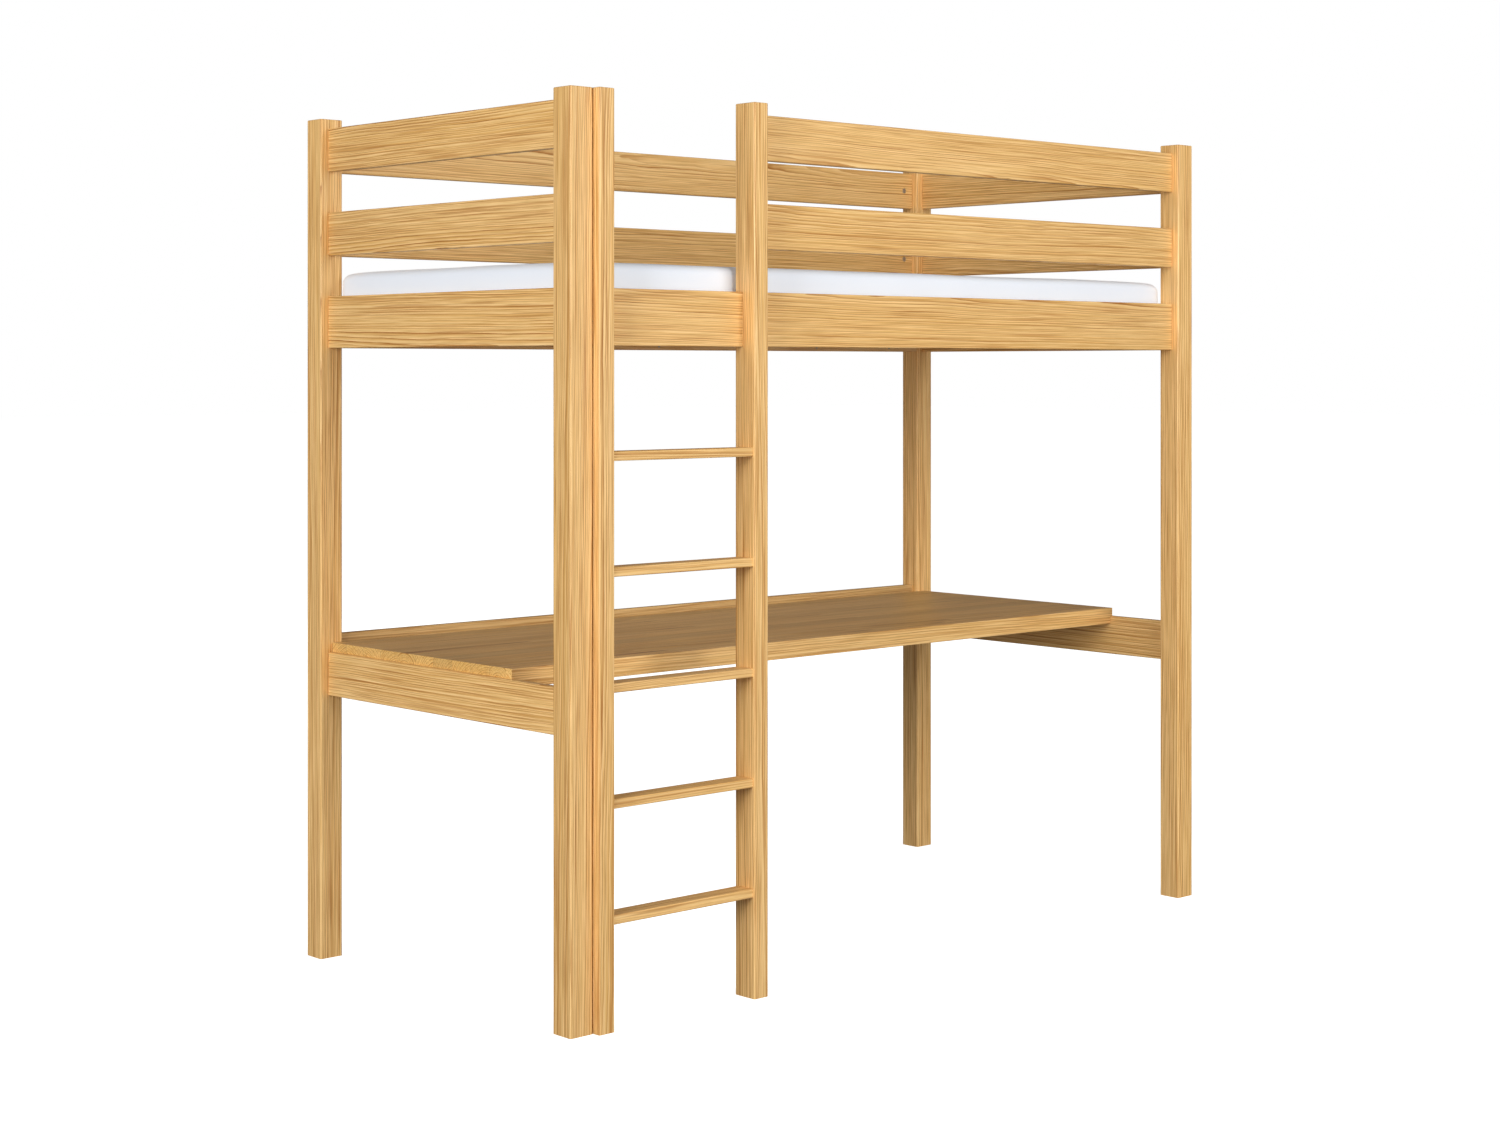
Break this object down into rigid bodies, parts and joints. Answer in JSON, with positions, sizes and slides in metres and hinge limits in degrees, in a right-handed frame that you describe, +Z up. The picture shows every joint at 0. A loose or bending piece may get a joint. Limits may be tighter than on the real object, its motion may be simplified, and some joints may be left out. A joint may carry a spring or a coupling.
{
  "type": "loft bed with desk",
  "caption": "Solid wood loft bed: square corner posts, guard boards on all sides, front ladder, slatted base with mattress, and a long desk panel underneath.",
  "frame": {"origin": "on the floor, at the centre of the outline seen from above, ladder included", "axes": "+Z up, +X along the bed with the ladder at the -X end, -Y towards the ladder side"},
  "size_m": [2.09, 1.024, 1.98],
  "materials": {
    "pine": "honey-stained, clear-lacquered pine with fine straight grain, satin",
    "pine_panel": "edge-glued pine panel of parallel staves, satin lacquer",
    "pine_unfinished": "planed softwood, unfinished, matte",
    "beech_dowel": "turned beech, matte",
    "zinc_steel": "bright zinc-plated",
    "mattress_cover": "smooth white knitted cover, matte"
  },
  "bodies": {
    "frame": {"batten_screws": "zinc_steel", "bed_board_back": "pine", "bed_board_front": "pine", "bed_board_left": "pine", "bed_board_right": "pine", "bracket_screws": "zinc_steel", "cam_locks": "zinc_steel", "cam_studs": "zinc_steel", "desk_bracket_left_back": "zinc_steel", "desk_bracket_left_front": "zinc_steel", "desk_bracket_right_back": "zinc_steel", "desk_bracket_right_front": "zinc_steel", "desk_front_strip": "pine", "desk_panel": "pine_panel", "desk_rail_back": "pine", "desk_rail_left": "pine", "desk_rail_right": "pine", "guard_back_middle": "pine", "guard_back_upper": "pine", "guard_front_middle": "pine", "guard_front_upper": "pine", "guard_left_middle": "pine", "guard_left_upper": "pine", "guard_right_middle": "pine", "guard_right_upper": "pine", "joint_dowels": "beech_dowel", "ladder_screws": "zinc_steel", "ladder_stile_left": "pine", "ladder_stile_right": "pine", "post_back_left": "pine", "post_back_right": "pine", "post_front_left": "pine", "post_front_right": "pine", "post_screws": "zinc_steel", "rung_1": "pine", "rung_2": "pine", "rung_3": "pine", "rung_4": "pine", "rung_5": "pine", "rung_dowels": "beech_dowel", "slat_1": "pine_unfinished", "slat_10": "pine_unfinished", "slat_11": "pine_unfinished", "slat_12": "pine_unfinished", "slat_13": "pine_unfinished", "slat_14": "pine_unfinished", "slat_2": "pine_unfinished", "slat_3": "pine_unfinished", "slat_4": "pine_unfinished", "slat_5": "pine_unfinished", "slat_6": "pine_unfinished", "slat_7": "pine_unfinished", "slat_8": "pine_unfinished", "slat_9": "pine_unfinished", "slat_batten_back": "pine_unfinished", "slat_batten_front": "pine_unfinished", "slat_screws": "zinc_steel", "strip_dowels": "beech_dowel"},
    "mattress": {"mattress": "mattress_cover"}
  },
  "joints": [
    {"name": "mattress_lift", "type": "slide", "parent": "frame", "child": "mattress", "axis": [0, 0, 1], "range_m": [0, 0.52]}
  ]
}
